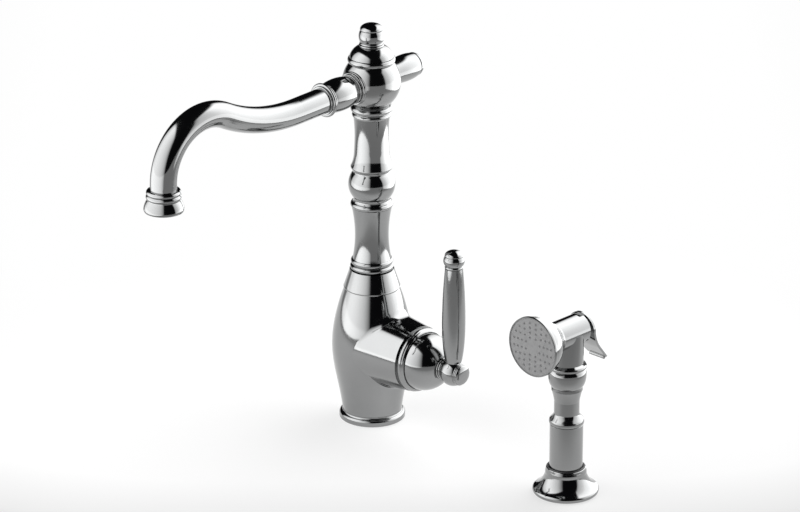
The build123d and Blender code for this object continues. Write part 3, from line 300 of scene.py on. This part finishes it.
# colours are linear; each finish drifts between two close tones and two roughnesses,
# and "wave" is the height of its surface unevenness in millimetres
finishes = {
    "polishedChrome": {"tones": ((0.300, 0.303, 0.303), (0.284, 0.288, 0.289)), "roughness": (0.06, 0.12),
                       "metal": 1.0, "grain": 60, "wave": 0.002},
    "greyRose": {"tones": ((0.285, 0.285, 0.287), (0.256, 0.256, 0.258)), "roughness": (0.42, 0.6),
                 "metal": 0.0, "grain": 500, "wave": 0.02},
    "nozzleRubber": {"tones": ((0.245, 0.245, 0.247), (0.21, 0.21, 0.212)), "roughness": (0.5, 0.7),
                     "metal": 0.0, "grain": 900, "wave": 0.02},
    "blackRubber": {"tones": ((0.022, 0.022, 0.022), (0.012, 0.012, 0.012)), "roughness": (0.6, 0.8),
                    "metal": 0.0, "grain": 700, "wave": 0.05},
    "blackLiner": {"tones": ((0.03, 0.03, 0.032), (0.02, 0.02, 0.021)), "roughness": (0.35, 0.5),
                   "metal": 0.0, "grain": 400, "wave": 0.02},
    "whitePlastic": {"tones": ((0.72, 0.72, 0.70), (0.66, 0.66, 0.64)), "roughness": (0.35, 0.5),
                     "metal": 0.0, "grain": 300, "wave": 0.02},
    "turnedBrass": {"tones": ((0.72, 0.50, 0.23), (0.62, 0.42, 0.18)), "roughness": (0.2, 0.34),
                    "metal": 1.0, "grain": 250, "wave": 0.01},
    "softCopper": {"tones": ((0.80, 0.42, 0.28), (0.66, 0.32, 0.20)), "roughness": (0.25, 0.4),
                   "metal": 1.0, "grain": 250, "wave": 0.01},
    "turnedSteel": {"tones": ((0.46, 0.46, 0.47), (0.38, 0.38, 0.39)), "roughness": (0.22, 0.36),
                    "metal": 1.0, "grain": 350, "wave": 0.01},
}

# each noise's scale as a share of the finish's grain, its detail, and the span of it that is used
noises = {
    "tone": {"share": 0.4, "detail": 3, "span": (0.35, 0.65)},
    "polish": {"share": 1.0, "detail": 4, "span": (0.3, 0.7)},
    "swell": {"share": 0.6, "detail": 1},
}

pieceFinish = {
    "greyRose": ["spray_face"],
    "whitePlastic": ["aerator", "cartridge_body", "swivel_bushes", "swivel_socket"],
    "blackRubber": ["deck_gaskets", "swivel_seals", "valve_seat"],
    "blackLiner": ["holder_liner"],
    "turnedBrass": ["inlet_plate", "stud_boss", "hose_inlets", "spray_outlet", "riser_tube", "swivel_nut",
                    "cartridge_nut", "hose_connector", "inner_tube"],
    "softCopper": ["supply_tubes"],
    "turnedSteel": ["stem_turret", "stem_pin", "handle_stem", "set_screw", "stop_pin", "valve_stem",
                    "trigger_pin", "valve_spring"],
}


def addNoise(tree, coordinates, kind, grain):
    noise = addNode(tree, "TexNoise")
    noise.inputs["Scale"].default_value = grain * kind["share"]
    noise.inputs["Detail"].default_value = kind["detail"]
    tree.links.new(coordinates.outputs["Object"], noise.inputs["Vector"])
    return noise.outputs["Fac"]


def makeFinish(name, look):
    material, tree, shader = newMaterial(name)
    coordinates = addNode(tree, "TexCoord")
    tone, polish, swell = [addNoise(tree, coordinates, kind, look["grain"]) for kind in noises.values()]
    colour = addRamp(tree, tone, list(zip(noises["tone"]["span"], look["tones"])))
    tree.links.new(colour, shader.inputs["Base Color"])
    gloss = addFade(tree, polish, *noises["polish"]["span"], *look["roughness"], "LINEAR")
    tree.links.new(gloss, shader.inputs["Roughness"])
    bump = addNode(tree, "Bump")
    bump.inputs["Strength"].default_value = 1.0
    bump.inputs["Distance"].default_value = look["wave"] * mm
    tree.links.new(swell, bump.inputs["Height"])
    tree.links.new(bump.outputs["Normal"], shader.inputs["Normal"])
    shader.inputs["Metallic"].default_value = look["metal"]
    return material


materials = {name: makeFinish(name, look) for name, look in finishes.items()}
finishOf = {piece: finish for finish, pieces in pieceFinish.items() for piece in pieces}
for pieceName, piece in nodes.items():
    piece.data.materials.clear()
    piece.data.materials.append(materials[finishOf.get(pieceName, "polishedChrome")])
print("finishes on")


def bodyOf(nodeName):
    above = nodes[nodeName].parent
    return next(name for name, empty in frame["bodies"].items() if empty == above)


def closedSkin(build, rings):
    wide = len(rings[0])
    faces = []
    for i, ring in enumerate(rings):
        following = rings[(i + 1) % len(rings)]
        for k in range(wide):
            n = (k + 1) % wide
            faces.append(build.faces.new((ring[k], ring[n], following[n], following[k])))
            faces[-1].smooth = True
    return faces


def meshPiece(name, build, finish, body):
    bmesh.ops.recalc_face_normals(build, faces=build.faces)
    build.normal_update()
    mesh = bpy.data.meshes.new(name)
    build.to_mesh(mesh)
    build.free()
    mesh.materials.append(materials[finish])
    piece = bpy.data.objects.new(name, mesh)
    bpy.context.scene.collection.objects.link(piece)
    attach(piece, body)


# smooth hollow where the handle's cone leaves the body, rolled along both; sizes in metres
rootBlend = {
    "radius": 0.0085,
    "coneRoot": (0.005, 0.0342),    # (place along the handle's axis, radius)
    "coneEnd": (0.0552, 0.0289),
    "axisHeight": 0.0696,
    "around": 120,
    "across": 12,
    "sink": 0.00003,                # its edges lie this deep in the two surfaces
    "back": 0.0003,                 # its hidden back lies this far inside the corner
    "tries": 40,
}


def surfaceOf(nodeName):
    node = nodes[nodeName]
    build = bmesh.new()
    build.from_mesh(node.data)
    build.transform(node.matrix_world)
    tree = BVHTree.FromBMesh(build)
    build.free()
    return tree


def coneSpot(setup, along, angle):
    (x0, r0), (x1, r1) = setup["coneRoot"], setup["coneEnd"]
    slope = (r0 - r1) / (x1 - x0)
    r = r0 - slope * (along - x0)
    outward = Vector((0, math.sin(angle), math.cos(angle)))
    spot = Vector((along, 0, setup["axisHeight"])) + r * outward
    normal = (outward + Vector((slope, 0, 0))).normalized()
    return spot, normal


# the hollow's section lies on a ball that rests on the cone and just touches the body; halving
# the way along the cone finds its place
def blendSection(setup, body, angle):
    radius, across = setup["radius"], setup["across"]
    low, high = setup["coneRoot"][0], setup["coneEnd"][0]
    for attempt in range(setup["tries"]):
        along = (low + high) / 2
        spot, normal = coneSpot(setup, along, angle)
        centre = spot + radius * normal
        touch, bodyNormal, face, gap = body.find_nearest(centre)
        if gap < radius:
            low = along
        else:
            high = along
    start, end = (spot - centre).normalized(), (touch - centre).normalized()
    spread = start.angle(end)
    points = []
    for k in range(across + 1):
        t = k / across
        ray = (math.sin((1 - t) * spread) * start + math.sin(t * spread) * end) / math.sin(spread)
        deep = setup["sink"] if k in (0, across) else 0
        points.append(centre + (radius + deep) * ray)
    corner = radius / math.cos(spread / 2) + setup["back"]
    points.append(centre + corner * (start + end).normalized())
    return points


def makeRootBlend(setup):
    body = surfaceOf("main_body")
    build = bmesh.new()
    rings = []
    for i in range(setup["around"]):
        section = blendSection(setup, body, 2 * math.pi * i / setup["around"])
        rings.append([build.verts.new(point) for point in section])
    for number, face in enumerate(closedSkin(build, rings)):
        face.smooth = number % len(rings[0]) < setup["across"]
    for edge in build.edges:
        edge.smooth = all(face.smooth for face in edge.link_faces)
    meshPiece("housingRootBlend", build, "polishedChrome", "faucet")


makeRootBlend(rootBlend)
print("housing blended into the body")


# soft nozzles round the holes of the spray's face; sizes in millimetres
nozzles = {
    "rings": (2, 3, 4, 5),
    "ringPitch": 4.16,
    "holesPerRing": 4,              # times the ring's number
    # (radius, how far it stands out of the face)
    "outline": ((0.3, -0.6), (0.32, 0.12), (0.5, 0.26), (0.78, 0.28), (1.02, 0.16), (1.2, -0.02)),
    "sides": 20,
}


def faceRay(turn):
    return Vector((math.cos(2 * math.pi * turn), 0, math.sin(2 * math.pi * turn)))


def addNozzle(build, setup, centre):
    out = Vector((0, -1, 0))
    rings = []
    for side in range(setup["sides"]):
        ray = faceRay(side / setup["sides"])
        rings.append([build.verts.new(centre + (r * ray + h * out) * mm) for r, h in setup["outline"]])
    closedSkin(build, rings)


def makeNozzles(setup):
    low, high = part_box("spray_face")
    middle = (Vector(low) + Vector(high)) / 2
    middle.y = low[1]
    build = bmesh.new()
    for ring in setup["rings"]:
        holes = setup["holesPerRing"] * ring
        for hole in range(holes):
            centre = middle + ring * setup["ringPitch"] * mm * faceRay((hole + 0.5) / holes)
            addNozzle(build, setup, centre)
    meshPiece("sprayNozzles", build, "nozzleRubber", bodyOf("spray_face"))


makeNozzles(nozzles)
print("nozzles set")


def pressSpring():
    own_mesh(nodes["valve_spring"])


pressSpring()
